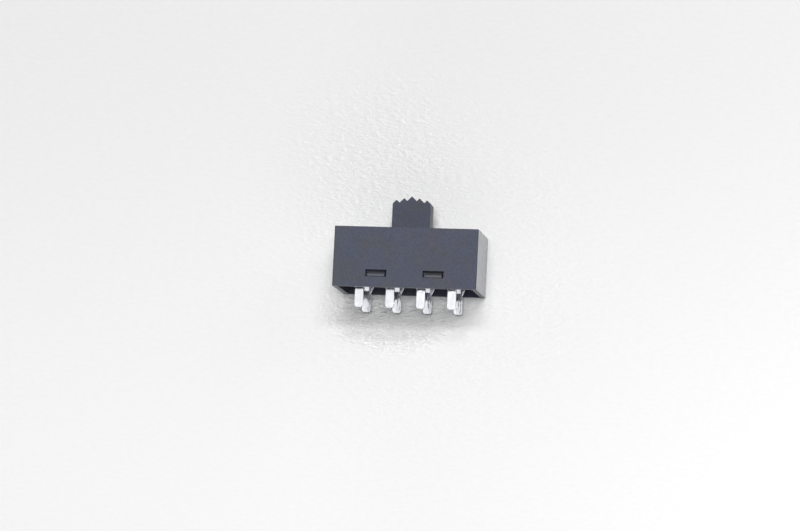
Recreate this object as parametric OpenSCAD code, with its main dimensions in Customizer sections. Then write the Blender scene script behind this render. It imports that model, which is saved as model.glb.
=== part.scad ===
// Slide switch with two poles and three positions.
//
// Each module draws its piece upright: X along the travel, the front wall at -Y, Z up, and
// Z = 0 at the rim that sits on the circuit board. lay() then turns the switch onto its back,
// so the back wall rests on Z = 0 and the thumb actuator points along +Y.

/* [Housing] */
// Length of the housing, along the travel
body_w = 21.9; // [21:0.1:26]
// Depth of the housing, front to back
body_d = 11; // [10.6:0.1:14]
// Height of the housing, rim to top
body_h = 9.1; // [8.9:0.1:12]
// Thickness of the four side walls
wall_t = 0.75; // [0.6:0.05:0.9]
// Thickness of the top wall
top_t = 0.9; // [0.7:0.05:1.1]
// Radius of the upright outer corners
corner_r = 0.2; // [0.1:0.05:0.5]
// Side of the square posts in the inner corners, which stop the base
post_t = 0.7; // [0.5:0.05:0.8]

/* [Snap windows and hooks] */
// Width of each snap window
window_w = 3.2; // [2.8:0.1:4]
// Height of each snap window
window_h = 1.05; // [0.95:0.05:1.3]
// Height of the window sill above the rim
window_sill = 1.55; // [1.2:0.05:1.7]
// Distance between the two windows of a wall
window_pitch = 8.7; // [7:0.1:10]
// Width of each hook of the base
hook_w = 2.6; // [1.8:0.1:2.8]
// How far the hook's nose stays below the outer face
hook_inset = 0.1; // [0.05:0.05:0.3]
// Height of the land at the hook's nose
hook_nose = 0.4; // [0.15:0.05:0.5]
// How far the land leans back over its height
hook_lean = 0.05; // [0:0.01:0.1]
// Width of the relief slot on each side of a hook
relief_w = 0.35; // [0.2:0.05:0.4]
// Depth of the relief slots into the base
relief_d = 0.6; // [0.3:0.05:0.7]

/* [Terminals] */
// Distance from one terminal to the next, which is also one step of the travel
pitch = 4.7; // [4.2:0.05:5]
// Distance between the two rows of terminals
row_gap = 6.85; // [6:0.05:7]
// Length of the legs below the rim
leg_l = 2.9; // [2:0.1:6]
// Width of a leg
leg_w = 1.3; // [1:0.02:1.6]
// Corner radius at the tip of a leg
tip_r = 0.45; // [0.2:0.05:0.5]
// Width of a blade where it passes through the base
blade_w = 2.16; // [1.8:0.02:2.4]
// Thickness of the terminal metal
blade_t = 0.5; // [0.4:0.05:0.6]
// Height over which the leg widens to the blade
shoulder_h = 1; // [0.6:0.1:1.2]
// Inner radius of the bend under the contact pad
bend_r = 0.2; // [0.1:0.05:0.3]
// Width of a contact pad, along the travel
pad_w = 3.4; // [2.8:0.1:3.6]
// Depth of a contact pad, from the blade's outer face inwards
pad_d = 2.25; // [2.1:0.05:2.4]
// Width of the locking lance pressed out of each blade
lance_w = 0.75; // [0.5:0.05:1]
// How far the lance stands out of the blade
lance_out = 0.3; // [0.2:0.05:0.4]
// Height of the lance
lance_h = 1.2; // [0.8:0.05:1.3]

/* [Base] */
// Thickness of the base
base_t = 1.2; // [1:0.05:1.3]
// Width of the low ribs between neighbouring pads
barrier_w = 1.1; // [0.8:0.05:1.1]
// Height of the wall between the two rows of pads
centre_wall_h = 2; // [1.2:0.1:2.2]
// Thickness of the wall between the two rows of pads
centre_wall_t = 0.8; // [0.5:0.05:0.9]

/* [Actuator] */
// Width of the actuator's front and back faces, along the travel
actuator_w = 5.85; // [5:0.05:6.5]
// How far each side swells from there to the parting line at mid-depth
actuator_draft = 0.06; // [0:0.01:0.12]
// Depth of the actuator, front to back
actuator_d = 3.1; // [2.8:0.1:4]
// Height of the middle tooth above the housing
actuator_h = 5.3; // [3:0.05:9]
// Distance from one tooth to the next
tooth_pitch = 1.17; // [1:0.01:1.2]
// How much lower each tooth is than its neighbour nearer the middle
tooth_step = 0.28; // [0:0.02:0.4]
// Rise over run of the tooth flanks
tooth_slope = 1; // [0.7:0.05:1.2]

/* [Slider] */
// Thickness of the flange that covers the slot
flange_t = 0.9; // [0.7:0.05:1]
// Depth of the flange, front to back
flange_d = 7.8; // [5:0.1:7.8]
// Thickness of the walls round each contact pocket
carrier_wall = 0.6; // [0.4:0.05:0.65]
// Thickness of the web on each contact carrier
web_t = 0.6; // [0.4:0.05:1]
// Width of the block that holds the detent
detent_block_w = 2.9; // [2.5:0.1:4]

/* [Contacts] */
// Width of a bridge contact
bridge_w = 1.4; // [1.2:0.05:1.5]
// Thickness of a bridge contact
bridge_t = 0.3; // [0.2:0.05:0.35]
// Radius of the round feet that run on the pads
foot_r = 0.5; // [0.4:0.05:0.55]
// Length of the strip beyond each foot
bridge_end = 0.75; // [0.6:0.05:0.9]
// Height of the turned-up ends, from the underside of the strip
tab_h = 0.95; // [0.5:0.05:1]
// Mean radius of the contact springs
contact_spring_r = 0.6; // [0.5:0.02:0.64]
// Turns of a contact spring
contact_spring_turns = 3.5; // [3:0.5:4]

/* [Detent] */
// Diameter of the detent balls
ball_d = 1.6; // [1.2:0.1:1.6]
// Mean radius of the detent spring
detent_spring_r = 0.6; // [0.4:0.02:0.62]
// Turns of the detent spring
detent_spring_turns = 10; // [6:1:14]
// Diameter of the wire of all three springs
wire_d = 0.22; // [0.16:0.01:0.24]
// Depth of the grooves that the balls drop into
groove_depth = 0.25; // [0.1:0.05:0.3]

/* [Clearances] */
// Gap on each side of a piece that is pressed or snapped into another
fit_gap = 0.05; // [0.02:0.01:0.1]
// Gap on each side of a piece that slides
run_gap = 0.1; // [0.06:0.01:0.15]
// Gap between faces that bear on each other while they slide
bearing_gap = 0.02; // [0.01:0.01:0.05]
// Gap left between the actuator and the end of its slot at full travel
stop_gap = 0.1; // [0.05:0.05:0.3]

/* [Hidden] */
$fn = 48;
COLUMNS = 4;
TEETH_A_SIDE = 2;
TERMINALS = [for (i = [1 : 2 * COLUMNS]) str("terminal_", i)];

FRONT = -1;
BACK = 1;
eps = 0.01;  // how far a cutting shape overshoots the face it cuts

plastic = [0.33, 0.345, 0.385];
base_plastic = [0.16, 0.165, 0.18];
plated = [0.86, 0.87, 0.9];
contact_metal = [0.8, 0.66, 0.4];
spring_steel = [0.62, 0.63, 0.65];

travel = pitch;
inner_w = body_w - 2 * wall_t;
inner_d = body_d - 2 * wall_t;
base_d = inner_d - 2 * fit_gap;
inner_top = body_h - top_t;
actuator_mid_w = actuator_w + 2 * actuator_draft;
slot_w = actuator_mid_w + 2 * (travel + stop_gap);
slot_d = actuator_d + 2 * run_gap;

base_bottom = window_sill + fit_gap;
base_top = base_bottom + base_t;
pad_top = base_top + blade_t;
row_y = row_gap / 2;
bend_outer_r = bend_r + blade_t;
pad_inner_y = row_y + blade_t / 2 - pad_d;
pad_outer_y = row_y + blade_t / 2 - bend_outer_r;
contact_y = (pad_inner_y + pad_outer_y) / 2;

foot_bottom = pad_top + bearing_gap;
strip_bottom = foot_bottom + foot_r - 0.2;
strip_top = strip_bottom + bridge_t;
bridge_half = pitch / 2 + bridge_end;

slider_top = inner_top - bearing_gap;
flange_bottom = slider_top - flange_t;
flange_half = inner_w / 2 - travel - 1.5 * stop_gap;
carrier_bottom = pad_top + 2 * run_gap;
pocket_half = bridge_half + run_gap;
pocket_top = strip_bottom + tab_h + run_gap;
carrier_half = pocket_half + carrier_wall;
carrier_d = bridge_w + 2 * fit_gap + 2 * carrier_wall;
detent_bore_d = ball_d + run_gap;
detent_cover = 0.55;  // plastic left above the detent bore
detent_z = slider_top - detent_cover - detent_bore_d / 2;
spring_floor = 0.3;  // plastic left between a spring's bore and the detent bore
spring_top = detent_z - detent_bore_d / 2 - spring_floor;
spring_bore_d = 2 * contact_spring_r + wire_d + 2 * run_gap;
block_d = inner_d - 2 * run_gap;

ball_y = inner_d / 2 - bearing_gap - ball_d / 2;
// distance from a ball's centre to the end coil that presses on it
seat_r = ball_d / 2 + wire_d / 2 + bearing_gap;
detent_spring_half = ball_y - sqrt(seat_r * seat_r - detent_spring_r * detent_spring_r);

// ---- helpers ----

// Turns a piece from upright to lying on the switch's back.
module lay() {
    translate([0, -body_h / 2, body_d / 2]) rotate([-90, 0, 0]) children();
}

// A rectangle with rounded corners, centred on the origin.
module rounded_rect(w, d, r) {
    square([w - 2 * r, d], center = true);
    square([w, d - 2 * r], center = true);
    for (x = [-1, 1], y = [-1, 1])
        translate([x * (w / 2 - r), y * (d / 2 - r)]) circle(r);
}

// A rectangle that stands on y = 0, with its two lower corners rounded.
module round_foot(w, h, r) {
    translate([-w / 2, r]) square([w, h - r]);
    translate([r - w / 2, 0]) square([w - 2 * r, r + eps]);
    for (x = [-1, 1]) translate([x * (w / 2 - r), r]) circle(r);
}

// A box centred in X and Y that spans from z0 to z1.
module block(w, d, z0, z1) {
    translate([-w / 2, -d / 2, z0]) cube([w, d, z1 - z0]);
}

// Draws a row's piece for the back row, or mirrored for the front row.
module for_row(side) {
    if (side == BACK) children();
    else mirror([0, 1, 0]) children();
}

// Places children at both windows of both long walls.
module at_windows() {
    for (x = [-1, 1], side = [FRONT, BACK])
        for_row(side) translate([x * window_pitch / 2, 0, 0]) children();
}

// A compression spring along Z, with its end turns closed, from z = 0 to z = length
// measured between wire centres.
module coil(mean_r, length, turns) {
    steps_a_turn = 12;
    wire_sides = 6;
    steps = turns * steps_a_turn;
    closed = wire_d * 1.15;
    points = [
        for (i = [0 : steps])
            let (
                t = i / steps_a_turn,
                z = lookup(t, [[0, 0], [1, closed], [turns - 1, length - closed], [turns, length]])
            )
            for (k = [0 : wire_sides - 1])
                let (r = mean_r + wire_d / 2 * cos(360 * k / wire_sides))
                [r * cos(360 * t), r * sin(360 * t), z + wire_d / 2 * sin(360 * k / wire_sides)]
    ];
    skin = [
        for (i = [0 : steps - 1], k = [0 : wire_sides - 1])
            let (
                a = i * wire_sides + k,
                b = i * wire_sides + (k + 1) % wire_sides
            )
            for (face = [[a, a + wire_sides, b], [b, a + wire_sides, b + wire_sides]]) face
    ];
    start = [for (k = [0 : wire_sides - 1]) k];
    end = [for (k = [wire_sides - 1 : -1 : 0]) steps * wire_sides + k];
    polyhedron(points, concat(skin, [start, end]));
}

// ---- pieces ----

// Moulded cover: open below, slotted on top, with snap windows and detent grooves.
module housing() {
    lay() color(plastic) difference() {
        linear_extrude(body_h) rounded_rect(body_w, body_d, corner_r);
        difference() {
            block(inner_w, inner_d, -eps, inner_top);
            for (x = [-1, 1], y = [-1, 1])
                translate([x * (inner_w - post_t) / 2, y * (inner_d - post_t) / 2, 0])
                    block(post_t + eps, post_t + eps, base_top, inner_top + eps);
        }
        block(slot_w, slot_d, inner_top - eps, body_h + eps);
        at_windows() translate([0, inner_d / 2 + wall_t / 2, 0])
            block(window_w, wall_t + 2 * eps, window_sill, window_sill + window_h);
        for (step = [-1 : 1], side = [FRONT, BACK])
            for_row(side)
                translate([step * travel, inner_d / 2 + groove_depth - ball_d / 2, detent_z - ball_d * 0.7])
                    cylinder(d = ball_d, h = ball_d * 1.4);
    }
}

// Outline of a hook in depth and height: flat ledge below, blunt nose, slope above.
module hook_outline() {
    root = base_d / 2;
    nose = body_d / 2 - hook_inset;
    ramp_top = window_sill + window_h - fit_gap;
    polygon([
        [root - eps, base_bottom],
        [nose, base_bottom],
        [nose - hook_lean, base_bottom + hook_nose],
        [root, ramp_top],
        [root - eps, ramp_top]
    ]);
}

// Room for one terminal's blade, with a chamfer under its bend.
module blade_slot() {
    lead = bend_r + fit_gap;
    inner_face = row_y - blade_t / 2 - fit_gap;
    translate([0, row_y, 0])
        block(blade_w + 2 * fit_gap, blade_t + 2 * fit_gap, base_bottom - eps, base_top + eps);
    translate([-blade_w / 2 - fit_gap, 0, 0]) rotate([90, 0, 90])
        linear_extrude(blade_w + 2 * fit_gap)
            polygon([
                [inner_face + eps, base_top + eps],
                [inner_face + eps, base_top - lead],
                [inner_face, base_top - lead],
                [inner_face - lead, base_top],
                [inner_face - lead, base_top + eps]
            ]);
}

// Terminal board: slotted for the blades, ribbed between the pads, hooked into the windows.
module base() {
    rib_h = blade_t - fit_gap;
    lay() color(base_plastic) difference() {
        union() {
            block(inner_w - 2 * fit_gap, base_d, base_bottom, base_top);
            block(inner_w - 4 * post_t, centre_wall_t, base_top, base_top + centre_wall_h);
            for (gap = [-1 : 1], side = [FRONT, BACK])
                translate([gap * pitch, side * (pad_inner_y + pad_outer_y) / 2, 0])
                    block(barrier_w, pad_outer_y - pad_inner_y, base_top, base_top + rib_h);
            at_windows() translate([-hook_w / 2, 0, 0]) rotate([90, 0, 90])
                linear_extrude(hook_w) hook_outline();
        }
        for (column = [0 : COLUMNS - 1], side = [FRONT, BACK])
            for_row(side) translate([column_x(column), 0, 0]) blade_slot();
        at_windows() for (x = [-1, 1])
            translate([x * (hook_w + relief_w) / 2, (base_d - relief_d) / 2 + eps, 0])
                block(relief_w, relief_d + 2 * eps, base_bottom - eps, base_top + eps);
    }
}

function column_x(column) = (column - (COLUMNS - 1) / 2) * pitch;

// Flat outline of a terminal before its pad is bent over.
module blade_outline(top) {
    translate([0, -leg_l]) round_foot(leg_w, leg_l, tip_r);
    polygon([
        [-leg_w / 2, 0], [leg_w / 2, 0],
        [blade_w / 2, shoulder_h], [blade_w / 2, top],
        [-blade_w / 2, top], [-blade_w / 2, shoulder_h]
    ]);
}

// The round part of a sheet-metal bend: a quarter of a tube.
module bend(inner, outer, length) {
    linear_extrude(length) intersection() {
        difference() {
            circle(outer);
            circle(inner);
        }
        square(outer);
    }
}

// Back-row terminal in its column: round-ended leg, shoulders, lance, bend and contact pad.
module stamped_terminal() {
    bend_z = pad_top - bend_outer_r;
    lance_top = base_bottom - fit_gap;
    pad_corner = 0.3;
    inner_face = row_y - blade_t / 2;
    translate([0, row_y + blade_t / 2, 0]) rotate([90, 0, 0])
        linear_extrude(blade_t) blade_outline(bend_z);
    // quarter bend towards the middle of the switch
    translate([blade_w / 2, pad_outer_y, bend_z]) rotate([0, -90, 0])
        bend(bend_r, bend_outer_r, blade_w);
    // contact pad
    translate([0, pad_inner_y, base_top]) linear_extrude(blade_t)
        round_foot(pad_w, pad_outer_y - pad_inner_y, pad_corner);
    // locking lance, free end up
    translate([-lance_w / 2, 0, 0]) rotate([90, 0, 90]) linear_extrude(lance_w)
        polygon([
            [inner_face + eps, lance_top - lance_h],
            [inner_face, lance_top - lance_h],
            [inner_face - lance_out, lance_top],
            [inner_face + eps, lance_top]
        ]);
}

// Terminals 1 to 4 stand in the front row and 5 to 8 in the back row, from left to right.
module terminal(number) {
    column = (number - 1) % COLUMNS;
    side = number > COLUMNS ? BACK : FRONT;
    lay() color(plated) for_row(side) translate([column_x(column), 0, 0]) stamped_terminal();
}

// Outline of the actuator: a ridge of teeth that falls away to both sides.
module actuator_outline() {
    top = body_h + actuator_h;
    tooth_top = function (i) top - abs(i) * tooth_step;
    last = TEETH_A_SIDE;
    side = actuator_mid_w / 2;
    // a valley's distance from the lower of its two teeth, the outer one
    run = (tooth_pitch - tooth_step / tooth_slope) / 2;
    flank_end = tooth_top(last) - (side - last * tooth_pitch) * tooth_slope;
    polygon(concat(
        [[-side, flange_bottom], [-side, flank_end]],
        [
            for (i = [-last : last], valley = [0, 1])
                let (outer = i < 0 ? i : i + 1)
                    if (!valley) [i * tooth_pitch, tooth_top(i)]
                    else if (i < last)
                        [outer * tooth_pitch - sign(outer) * run, tooth_top(outer) - run * tooth_slope]
        ],
        [[side, flank_end], [side, flange_bottom]]
    ));
}

// Thumb actuator, with draft on both sides of its parting line.
module actuator() {
    intersection() {
        translate([0, actuator_d / 2, 0]) rotate([90, 0, 0])
            linear_extrude(actuator_d) actuator_outline();
        linear_extrude(body_h + actuator_h + eps) polygon([
            [-actuator_w / 2, -actuator_d / 2], [actuator_w / 2, -actuator_d / 2],
            [actuator_mid_w / 2, 0],
            [actuator_w / 2, actuator_d / 2], [-actuator_w / 2, actuator_d / 2],
            [-actuator_mid_w / 2, 0]
        ]);
    }
}

// Moving piece: serrated actuator, flange, detent block and two contact carriers.
module slider() {
    lay() color(plastic) difference() {
        union() {
            actuator();
            block(2 * flange_half, flange_d, flange_bottom, slider_top);
            block(detent_block_w, block_d, spring_top, slider_top);
            for (y = [-1, 1]) translate([0, y * contact_y, 0]) {
                block(2 * carrier_half, carrier_d, carrier_bottom, spring_top + spring_floor);
                block(2 * carrier_half, web_t, spring_top, flange_bottom + eps);
            }
        }
        for (y = [-1, 1]) translate([0, y * contact_y, 0]) {
            block(2 * pocket_half, bridge_w + 2 * fit_gap, carrier_bottom - eps, pocket_top);
            translate([0, 0, pocket_top - eps])
                cylinder(d = spring_bore_d, h = spring_top - pocket_top + eps);
        }
        translate([0, body_d / 2, detent_z]) rotate([90, 0, 0])
            cylinder(d = detent_bore_d, h = body_d);
    }
}

// Bridge contact: a strip with two round feet, turned-up ends and a nib for its spring.
module bridge(side) {
    nib_d = 2 * contact_spring_r - wire_d - 2 * fit_gap;
    nib_h = 0.45;
    lay() color(contact_metal) translate([0, side * contact_y, 0]) {
        translate([0, bridge_w / 2, 0]) rotate([90, 0, 0]) linear_extrude(bridge_w) {
            difference() {
                union() {
                    translate([-bridge_half, strip_bottom]) square([2 * bridge_half, bridge_t]);
                    for (x = [-1, 1]) translate([x * pitch / 2, foot_bottom + foot_r])
                        intersection() {
                            circle(foot_r);
                            translate([-foot_r, -foot_r]) square([2 * foot_r, strip_top - foot_bottom]);
                        }
                }
                for (x = [-1, 1]) translate([x * pitch / 2, foot_bottom + foot_r])
                    circle(foot_r - bridge_t);
            }
            for (x = [-1, 1]) translate([x * (bridge_half - bridge_t / 2) - bridge_t / 2, strip_bottom])
                square([bridge_t, tab_h]);
        }
        translate([0, 0, strip_top - eps]) cylinder(d = nib_d, h = nib_h + eps);
    }
}

// Spring that presses a bridge contact onto its pads.
module contact_spring(side) {
    bottom = strip_top + bearing_gap + wire_d / 2;
    top = spring_top - bearing_gap - wire_d / 2;
    lay() color(spring_steel) translate([0, side * contact_y, bottom])
        coil(contact_spring_r, top - bottom, contact_spring_turns);
}

// Spring that pushes the two detent balls apart.
module detent_spring() {
    lay() color(spring_steel) translate([0, detent_spring_half, detent_z]) rotate([90, 0, 0])
        coil(detent_spring_r, 2 * detent_spring_half, detent_spring_turns);
}

// Detent ball, held back just clear of the wall.
module detent_ball(side) {
    lay() color(spring_steel) translate([0, side * ball_y, detent_z]) sphere(d = ball_d);
}

housing();
base();
for (i = [1 : 2 * COLUMNS]) terminal(i);
slider();
bridge(FRONT);  // bridge_front
bridge(BACK);  // bridge_back
contact_spring(FRONT);  // contact_spring_front
contact_spring(BACK);  // contact_spring_back
detent_spring();
detent_ball(FRONT);  // detent_ball_front
detent_ball(BACK);  // detent_ball_back
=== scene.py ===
"""Dresses the slide switch and sets the scene round it.

The CAD nodes get moulded plastic, bright plating and drawn steel, with softened edges. The
switch lies on pale crinkled paper, under two soft tubes in a dim room.
"""

import math

import bpy
from mathutils import Matrix, Vector

MM = 0.001
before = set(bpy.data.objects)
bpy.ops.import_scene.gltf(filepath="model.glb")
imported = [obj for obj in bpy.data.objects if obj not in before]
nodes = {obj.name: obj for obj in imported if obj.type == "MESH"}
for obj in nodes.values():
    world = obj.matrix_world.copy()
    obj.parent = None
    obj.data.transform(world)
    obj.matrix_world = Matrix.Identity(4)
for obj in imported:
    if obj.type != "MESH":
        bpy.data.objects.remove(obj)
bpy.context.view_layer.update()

TERMINALS = [name for name in nodes if name.startswith("terminal_")]
CONTACTS = ["bridge_front", "bridge_back"]
SPRINGS = ["contact_spring_front", "contact_spring_back", "detent_spring"]
BALLS = ["detent_ball_front", "detent_ball_back"]

# ---- node helpers ----


class Nodes:
    """Short calls for building a material's or the world's node tree."""

    def __init__(self, owner):
        owner.use_nodes = True
        self.tree = owner.node_tree
        self.tree.nodes.clear()

    def add(self, kind, **settings):
        node = self.tree.nodes.new(kind)
        for key, value in settings.items():
            setattr(node, key, value)
        return node

    def link(self, source, target):
        self.tree.links.new(source, target)

    def put(self, socket, value):
        """Links an output to a socket, or writes a plain value on it."""
        if isinstance(value, bpy.types.NodeSocket):
            self.link(value, socket)
        else:
            socket.default_value = value

    def math(self, operation, a, b=0.0):
        node = self.add("ShaderNodeMath", operation=operation)
        self.put(node.inputs[0], a)
        self.put(node.inputs[1], b)
        return node.outputs[0]

    def times(self, a, b):
        return self.math("MULTIPLY", a, b)

    def total(self, first, *others):
        for value in others:
            first = self.math("ADD", first, value)
        return first

    def length(self, *axes):
        """Length of the vector with the given components."""
        return self.math("SQRT", self.total(*[self.math("POWER", axis, 2.0) for axis in axes]))

    def axes(self, place):
        """X, Y and Z of a texture coordinate, such as Object or Normal."""
        node = self.add("ShaderNodeSeparateXYZ")
        self.link(self.add("ShaderNodeTexCoord").outputs[place], node.inputs[0])
        return node.outputs

    def spread(self, value, low, high, to_low=0.0, to_high=1.0):
        """Maps low..high smoothly to to_low..to_high."""
        node = self.add("ShaderNodeMapRange", interpolation_type="SMOOTHSTEP")
        self.put(node.inputs["Value"], value)
        self.put(node.inputs["From Min"], low)
        self.put(node.inputs["From Max"], high)
        self.put(node.inputs["To Min"], to_low)
        self.put(node.inputs["To Max"], to_high)
        return node.outputs["Result"]

    def oval(self, place, centre, half, inner, outer, height=1.0):
        """A patch of `height`, full inside `inner` and gone outside `outer`.

        Both are counted in half sizes from its centre.
        """
        offsets = [
            self.math("DIVIDE", self.math("SUBTRACT", axis, middle), size)
            for axis, middle, size in zip(place, centre, half)
        ]
        return self.spread(self.length(*offsets), inner, outer, height, 0.0)

    def noise(self, size, detail=2.0, stretch=(1, 1, 1), roughness=0.5):
        """Noise with features about `size` metres across, lengthened by `stretch`."""
        mapping = self.add("ShaderNodeMapping")
        self.link(self.add("ShaderNodeTexCoord").outputs["Object"], mapping.inputs["Vector"])
        mapping.inputs["Scale"].default_value = [1 / (size * s) for s in stretch]
        node = self.add("ShaderNodeTexNoise")
        self.link(mapping.outputs["Vector"], node.inputs["Vector"])
        node.inputs["Scale"].default_value = 1.0
        node.inputs["Detail"].default_value = detail
        node.inputs["Roughness"].default_value = roughness
        return node.outputs["Fac"]

    def blend(self, kind, factor, a, b):
        node = self.add("ShaderNodeMix", data_type="RGBA", blend_type=kind)
        self.put(node.inputs["Factor"], factor)
        self.put(node.inputs["A"], a)
        self.put(node.inputs["B"], b)
        return node.outputs["Result"]

    def mix(self, factor, a, b):
        return self.blend("MIX", factor, a, b)

    def tint(self, factor, color, shade):
        """Darkens a colour to `shade` times itself where the factor is 1."""
        return self.blend("MULTIPLY", factor, color, grey(shade))

    def bump(self, height, depth, normal=None):
        """Bump whose full height is `depth` metres."""
        node = self.add("ShaderNodeBump")
        node.inputs["Distance"].default_value = depth
        node.inputs["Strength"].default_value = 1.0
        self.link(height, node.inputs["Height"])
        if normal is not None:
            self.link(normal, node.inputs["Normal"])
        return node.outputs["Normal"]


def rgba(color, factor=1.0):
    return tuple(c * factor for c in color) + (1.0,)


def grey(shade):
    return rgba((shade,) * 3)


def principled(name):
    """A new material with a Principled shader: (material, its nodes, the shader's sockets)."""
    material = bpy.data.materials.new(name)
    n = Nodes(material)
    shader = n.add("ShaderNodeBsdfPrincipled")
    out = n.add("ShaderNodeOutputMaterial")
    n.link(shader.outputs["BSDF"], out.inputs["Surface"])
    return material, n, shader.inputs


# The values that most of a noise lies between, and its middle
NOISE_RANGE = (0.3, 0.7)
NOISE_MIDDLE = 0.5

# ---- moulded plastic ----

PLASTIC_IOR = 1.5
PLASTIC_SPECULAR = 0.3
MOTTLE_SIZE, MOTTLE_RANGE = 3.0 * MM, (0.35, 0.65)
# The duller mottles lose this share of their colour
DULLING = 0.4
DULL_SHADE, CLEAN_SHADE = 0.97, 1.04
SPECKLE_SIZE, SPECKLE_SHADE = 0.28 * MM, 0.84
SMEAR_SIZE, SMEAR_RANGE, SMEAR_ROUGHNESS = 0.9 * MM, (0.25, 0.75), 0.035
# How squarely a side has to face its way to count as eroded or as the rim
ERODED_RANGE = (0.3, 0.9)
RIM_RANGE, RIM_ROUGHNESS = (0.6, 0.95), 0.2
# The rubbed sides keep this share of the sparks' relief
SPARK_SIZE, SPARKS_LEFT = 0.15 * MM, 0.2


def moulded_plastic(name, color, face_rough, side_rough, spark_depth):
    """Moulded plastic with faint mottling and fine speckle.

    Its front and back are spark-eroded. Its sides were rubbed smooth as they left the mould,
    and those that face -Y, such as the rim, are a little rougher.
    """
    material, n, sockets = principled(name)
    mean = sum(color) / 3
    dull = [(1 - DULLING) * c + DULLING * mean for c in color]
    mottle = n.spread(n.noise(MOTTLE_SIZE, detail=3), *MOTTLE_RANGE)
    mottled = n.mix(mottle, rgba(dull, DULL_SHADE), rgba(color, CLEAN_SHADE))
    speckle = n.spread(n.noise(SPECKLE_SIZE), *NOISE_RANGE)
    n.put(sockets["Base Color"], n.tint(speckle, mottled, SPECKLE_SHADE))

    _, facing_y, facing_z = n.axes("Normal")
    eroded = n.spread(n.math("ABSOLUTE", facing_z), *ERODED_RANGE)
    rough = n.total(n.times(eroded, face_rough - side_rough), side_rough)
    rim = n.spread(n.times(facing_y, -1.0), *RIM_RANGE, 0.0, RIM_ROUGHNESS)
    smears = n.spread(n.noise(SMEAR_SIZE), *SMEAR_RANGE, -SMEAR_ROUGHNESS, SMEAR_ROUGHNESS)
    n.put(sockets["Roughness"], n.total(rough, rim, smears))
    sockets["IOR"].default_value = PLASTIC_IOR
    sockets["Specular IOR Level"].default_value = PLASTIC_SPECULAR

    share = n.total(n.times(eroded, 1 - SPARKS_LEFT), SPARKS_LEFT)
    sparks = n.times(n.noise(SPARK_SIZE, detail=3), share)
    n.put(sockets["Normal"], n.bump(sparks, spark_depth))
    return material


# ---- metals ----

HAZE_ROUGHNESS = 0.35
HAZE_IOR = 1.4
HAZE_SIZE, HAZE_SHADE, HAZE_SPREAD = 0.8 * MM, 0.97, 0.02
WAVE_SIZE, WAVE_STRETCH = 0.6 * MM, 2.5
ROLLING_SIZE, ROLLING_STRETCH, ROLLING_DEPTH = 0.035 * MM, 24, 0.0006 * MM
EDGE_SAMPLES = 6
GRAIN_SIZE, GRAIN_DEPTH = 0.05 * MM, 0.0004 * MM
GRAIN_SHADE, GRAIN_SPREAD = 0.9, 0.05


def stretched(along, factor):
    """A stretch by the factor along one axis, for Nodes.noise."""
    return [factor if axis == along else 1 for axis in "XYZ"]


def plated_metal(name, color, gloss, along, edge, waves):
    """Bright, faintly hazy plating over rolled strip, with rolled-over edges.

    Its rolling lines and waves run along the given axis.
    """
    material, n, sockets = principled(name)
    haze = n.noise(HAZE_SIZE, detail=3)
    cloud = n.spread(haze, *NOISE_RANGE)
    n.put(sockets["Base Color"], n.mix(cloud, rgba(color, HAZE_SHADE), rgba(color)))
    sockets["Metallic"].default_value = 1.0
    sockets["Coat Weight"].default_value = 1.0
    sockets["Coat Roughness"].default_value = HAZE_ROUGHNESS
    sockets["Coat IOR"].default_value = HAZE_IOR
    rough = n.spread(haze, *NOISE_RANGE, gloss - HAZE_SPREAD, gloss + HAZE_SPREAD)
    n.put(sockets["Roughness"], rough)

    rolled_over = n.add("ShaderNodeBevel", samples=EDGE_SAMPLES)
    rolled_over.inputs["Radius"].default_value = edge
    wavy = n.noise(WAVE_SIZE, detail=1.5, stretch=stretched(along, WAVE_STRETCH))
    uneven = n.bump(wavy, waves, rolled_over.outputs["Normal"])
    rolling = n.noise(ROLLING_SIZE, stretch=stretched(along, ROLLING_STRETCH))
    n.put(sockets["Normal"], n.bump(rolling, ROLLING_DEPTH, uneven))
    return material


def drawn_steel(name, color, gloss):
    """Drawn wire and polished balls: bright steel with a fine grain."""
    material, n, sockets = principled(name)
    grain = n.noise(GRAIN_SIZE, detail=3)
    n.put(sockets["Base Color"], n.mix(grain, rgba(color, GRAIN_SHADE), rgba(color)))
    sockets["Metallic"].default_value = 1.0
    rough = n.spread(grain, *NOISE_RANGE, gloss - GRAIN_SPREAD, gloss + GRAIN_SPREAD)
    n.put(sockets["Roughness"], rough)
    n.put(sockets["Normal"], n.bump(grain, GRAIN_DEPTH))
    return material


# ---- paper ----

# Painted shade in the paper's colour: lighter on the -Y side, darker on the +Y side, and an
# even shade far away
PAPER_PAINTED_LIT, PAPER_PAINTED_SHADED, PAPER_AWAY = 0.960, 0.860, 0.88
PAINTED_SLOPE_REACH = 45 * MM
AWAY_RANGE = (60 * MM, 160 * MM)
# Painted shade: the paper is a little darker on the right than on the left, by X, and in a
# patch beyond the switch
PAINTED_RIGHT_RANGE, PAINTED_RIGHT_SHADE = (-20 * MM, 5 * MM), 0.962
PAINTED_SHADE_PATCH = ((-7.5 * MM, 16.0 * MM), (21.0 * MM, 19.5 * MM), 0.15, 1.0)
PAINTED_PATCH_SHADE = 0.955
# The paper in front of the switch is pressed into deeper, glossier creases
PRESSED_PATCH = ((-3.5 * MM, -6.5 * MM), (12.5 * MM, 8.0 * MM), 0.5, 1.0)
PAPER_ROUGHNESS, PRESSED_GLOSS = 0.3, 0.13
FIBRE_SIZE, FIBRE_STRETCH = 0.45 * MM, 2.5
FIBRE_RANGE, FIBRE_SHADE = (0.35, 0.75), 0.98
CREASE_SIZE, CREASE_STRETCH, CREASE_ROUGHNESS = 0.95 * MM, 2.0, 0.6
CREASE_DEPTH = 0.3 * MM
# Shares of that depth: close to the switch and further off, and what each patch adds
CREASES_NEAR, CREASES_FAR, CREASES_FADE = 0.27, 0.1, (14 * MM, 40 * MM)
CREASES_SHADED_PATCH, CREASES_PRESSED = 0.38, 2.0
STRAND_SIZE, STRAND_STRETCH, STRANDS_PRESSED = 0.32 * MM, 3.0, 0.35


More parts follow.
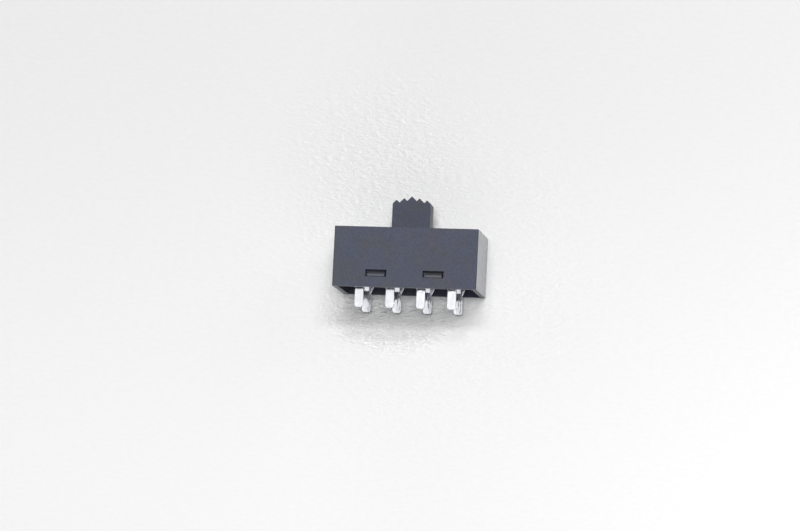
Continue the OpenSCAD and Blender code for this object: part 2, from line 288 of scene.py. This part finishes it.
def paper(name):
    """Pale crinkled satin paper, flatter and even in tone far from the switch. Near the switch
    its colour holds painted shade: darker towards +Y, on the right, and in a patch beyond the
    switch.
    """
    material, n, sockets = principled(name)
    x, y, _ = n.axes("Object")
    distance = n.length(x, y)
    pressed = n.oval((x, y), *PRESSED_PATCH)
    # The patch beyond the switch that holds painted shade; its creases are also deeper
    shaded_patch = n.oval((x, y), *PAINTED_SHADE_PATCH)

    # Painted shade: the paper's colour runs from lighter at -Y to darker at +Y
    painted_slope = n.spread(y, -PAINTED_SLOPE_REACH, PAINTED_SLOPE_REACH)
    shade = n.mix(painted_slope, grey(PAPER_PAINTED_LIT), grey(PAPER_PAINTED_SHADED))
    # Painted shade: the paper's colour is darker on the right and lighter on the left
    shade = n.tint(n.spread(x, *PAINTED_RIGHT_RANGE), shade, PAINTED_RIGHT_SHADE)
    # Painted shade: a darker patch in the paper's colour beyond the switch
    shade = n.tint(shaded_patch, shade, PAINTED_PATCH_SHADE)
    shade = n.mix(n.spread(distance, *AWAY_RANGE), shade, grey(PAPER_AWAY))
    fibre = n.noise(FIBRE_SIZE, detail=3, stretch=stretched("X", FIBRE_STRETCH))
    fibre = n.spread(fibre, *FIBRE_RANGE)
    n.put(sockets["Base Color"], n.tint(fibre, shade, FIBRE_SHADE))
    gloss = n.times(pressed, PRESSED_GLOSS)
    n.put(sockets["Roughness"], n.math("SUBTRACT", PAPER_ROUGHNESS, gloss))

    folds = n.noise(
        CREASE_SIZE,
        detail=3,
        stretch=stretched("X", CREASE_STRETCH),
        roughness=CREASE_ROUGHNESS,
    )
    crinkle = n.math("ABSOLUTE", n.math("SUBTRACT", folds, NOISE_MIDDLE))
    share = n.total(
        n.spread(distance, *CREASES_FADE, CREASES_NEAR, CREASES_FAR),
        n.times(shaded_patch, CREASES_SHADED_PATCH),
        n.times(pressed, CREASES_PRESSED),
    )
    strands = n.noise(STRAND_SIZE, stretch=stretched("X", STRAND_STRETCH))
    strands = n.times(strands, n.times(pressed, STRANDS_PRESSED))
    relief = n.total(n.times(crinkle, share), strands)
    n.put(sockets["Normal"], n.bump(relief, CREASE_DEPTH))
    return material


# ---- pieces ----

WELD_WITHIN = 0.0005 * MM
FLAT_WITHIN = math.radians(0.5)
SHARP_FROM = math.radians(38)


def give(names, material):
    for name in names:
        nodes[name].data.materials.clear()
        nodes[name].data.materials.append(material)


def soften_edges(names, radius, segments=2):
    """Rounds the sharp edges of CAD nodes with modifiers, leaving their meshes as they are."""
    for name in names:
        piece = nodes[name]
        weld = piece.modifiers.new("weld", "WELD")
        weld.merge_threshold = WELD_WITHIN
        flat = piece.modifiers.new("flat_faces", "DECIMATE")
        flat.decimate_type = "DISSOLVE"
        flat.angle_limit = FLAT_WITHIN
        bevel = piece.modifiers.new("edge_radius", "BEVEL")
        bevel.width = radius
        bevel.segments = segments
        bevel.limit_method = "ANGLE"
        bevel.angle_limit = SHARP_FROM
        bevel.harden_normals = True
        bevel.use_clamp_overlap = True


# ---- stage ----

CAMERA_AIM = Vector((-1.606, -0.563, 5.5)) * MM
CAMERA_DISTANCE = 538.2 * MM
CAMERA_BACK = Vector((0.1592, -0.1215, 0.9797)).normalized()
CAMERA_ROLL = math.radians(2.727)
CAMERA_LENS = 159.7
CAMERA_SENSOR = 36.0
CAMERA_SEES_FROM, CAMERA_SEES_TO = 10 * MM, 10.0

FLOOR_RADIUS = 3.0
FLOOR_STEPS = 96


def make_camera():
    """Looks down on the front face, a little from below and from the right."""
    data = bpy.data.cameras.new("camera")
    data.lens = CAMERA_LENS
    data.sensor_width = CAMERA_SENSOR
    data.clip_start = CAMERA_SEES_FROM
    data.clip_end = CAMERA_SEES_TO
    camera = bpy.data.objects.new("camera", data)
    bpy.context.scene.collection.objects.link(camera)
    up = Vector((-math.sin(CAMERA_ROLL), math.cos(CAMERA_ROLL), 0))
    right = up.cross(CAMERA_BACK).normalized()
    up = CAMERA_BACK.cross(right)
    turn = Matrix((right, up, CAMERA_BACK)).transposed().to_4x4()
    stand = Matrix.Translation(CAMERA_AIM + CAMERA_BACK * CAMERA_DISTANCE)
    camera.matrix_world = stand @ turn
    bpy.context.scene.camera = camera


def make_floor():
    """A wide round sheet at the level that the switch lies on."""
    angles = [2 * math.pi * i / FLOOR_STEPS for i in range(FLOOR_STEPS)]
    rim = [(FLOOR_RADIUS * math.cos(a), FLOOR_RADIUS * math.sin(a), 0) for a in angles]
    faces = [(0, 1 + i, 1 + (i + 1) % FLOOR_STEPS) for i in range(FLOOR_STEPS)]
    mesh = bpy.data.meshes.new("floor")
    mesh.from_pydata([(0, 0, 0)] + rim, [], faces)
    floor = bpy.data.objects.new("floor", mesh)
    floor.data.materials.append(paper("paper"))
    bpy.context.scene.collection.objects.link(floor)


# ---- light ----

# Patches of the sky, by X and Y of their direction: centre, half size, where the rim
# starts and ends in half sizes, and strength
TUBE_RIM = (0.78, 1.22)
WINDOW_RIM = (0.4, 1.4)
LIGHTS = {
    "far_tube": ((0.125, 0.390), (0.285, 0.058), *TUBE_RIM, 30.9),
    "near_tube": ((0.100, 0.018), (0.210, 0.076), *TUBE_RIM, 27.9),
    "left_window": ((-0.787, 0.60), (0.22, 0.35), *WINDOW_RIM, 0.5),
    "right_window": ((0.787, 0.60), (0.22, 0.35), *WINDOW_RIM, 1.2),
}
# The fill from the -Y side, by Y: full at the first value and gone at the second
FILL_RANGE, FILL = (-0.65, -0.35), 0.6
WALLS = 0.02
# The room that glossy surfaces mirror, with a card on its left
MIRRORED_LOW, MIRRORED_HIGH = 0.75, 1.1
MIRRORED_RANGE = (0.0, 0.6)
MIRRORED_CARD = ((-0.45, 0.0), (0.18, 0.9), 0.8, 1.2, 3.0)
MIRRORED_CAP = 1.5
BACKDROP = 1.0


def make_light():
    """Two soft tubes overhead, two dim low windows and a weak fill from the front.

    Glossy surfaces mirror an even room instead, and the camera sees a white backdrop.
    """
    world = bpy.data.worlds.new("studio")
    bpy.context.scene.world = world
    n = Nodes(world)
    x, y, z = n.axes("Generated")
    fill = n.spread(y, *FILL_RANGE, FILL, 0.0)
    light = n.total(fill, *[n.oval((x, y), *patch) for patch in LIGHTS.values()])
    light = n.total(n.times(light, n.math("GREATER_THAN", z, 0.0)), WALLS)

    room = n.spread(z, *MIRRORED_RANGE, MIRRORED_LOW, MIRRORED_HIGH)
    lit = n.total(light, n.oval((x, y), *MIRRORED_CARD))
    mirrored = n.math("MINIMUM", n.math("MAXIMUM", room, lit), MIRRORED_CAP)
    path = n.add("ShaderNodeLightPath").outputs
    strength = light
    for ray, seen in (("Is Glossy Ray", mirrored), ("Is Camera Ray", BACKDROP)):
        choice = n.add("ShaderNodeMix", data_type="FLOAT")
        n.put(choice.inputs["Factor"], path[ray])
        n.put(choice.inputs["A"], strength)
        n.put(choice.inputs["B"], seen)
        strength = choice.outputs["Result"]
    background = n.add("ShaderNodeBackground")
    n.link(strength, background.inputs["Strength"])
    out = n.add("ShaderNodeOutputWorld")
    n.link(background.outputs[0], out.inputs["Surface"])


# ---- dressing ----

make_camera()
make_floor()
make_light()
bpy.context.scene.view_settings.view_transform = "Standard"

housing_plastic = moulded_plastic(
    "housing_plastic",
    color=(0.0725, 0.0818, 0.1225),
    face_rough=0.65,
    side_rough=0.16,
    spark_depth=0.0024 * MM,
)
slider_plastic = moulded_plastic(
    "slider_plastic",
    color=(0.0642, 0.0735, 0.1105),
    face_rough=0.65,
    side_rough=0.42,
    spark_depth=0.0024 * MM,
)
base_plastic = moulded_plastic(
    "base_plastic",
    color=(0.068, 0.076, 0.093),
    face_rough=0.4,
    side_rough=0.5,
    spark_depth=0.0018 * MM,
)
plated_strip = plated_metal(
    "plated_strip",
    color=(0.87, 0.888, 0.93),
    gloss=0.098,
    along="Y",
    edge=0.2 * MM,
    waves=0.030 * MM,
)
contact_strip = plated_metal(
    "contact_strip",
    color=(0.80, 0.62, 0.36),
    gloss=0.25,
    along="X",
    edge=0.06 * MM,
    waves=0.005 * MM,
)
spring_steel = drawn_steel("spring_steel", color=(0.56, 0.57, 0.58), gloss=0.28)

give(["housing"], housing_plastic)
give(["slider"], slider_plastic)
give(["base"], base_plastic)
give(TERMINALS, plated_strip)
give(CONTACTS, contact_strip)
give(SPRINGS + BALLS, spring_steel)

soften_edges(["housing"], radius=0.05 * MM)
soften_edges(["slider"], radius=0.06 * MM)
soften_edges(["base"], radius=0.05 * MM)
soften_edges(TERMINALS, radius=0.18 * MM, segments=4)
soften_edges(CONTACTS, radius=0.04 * MM)
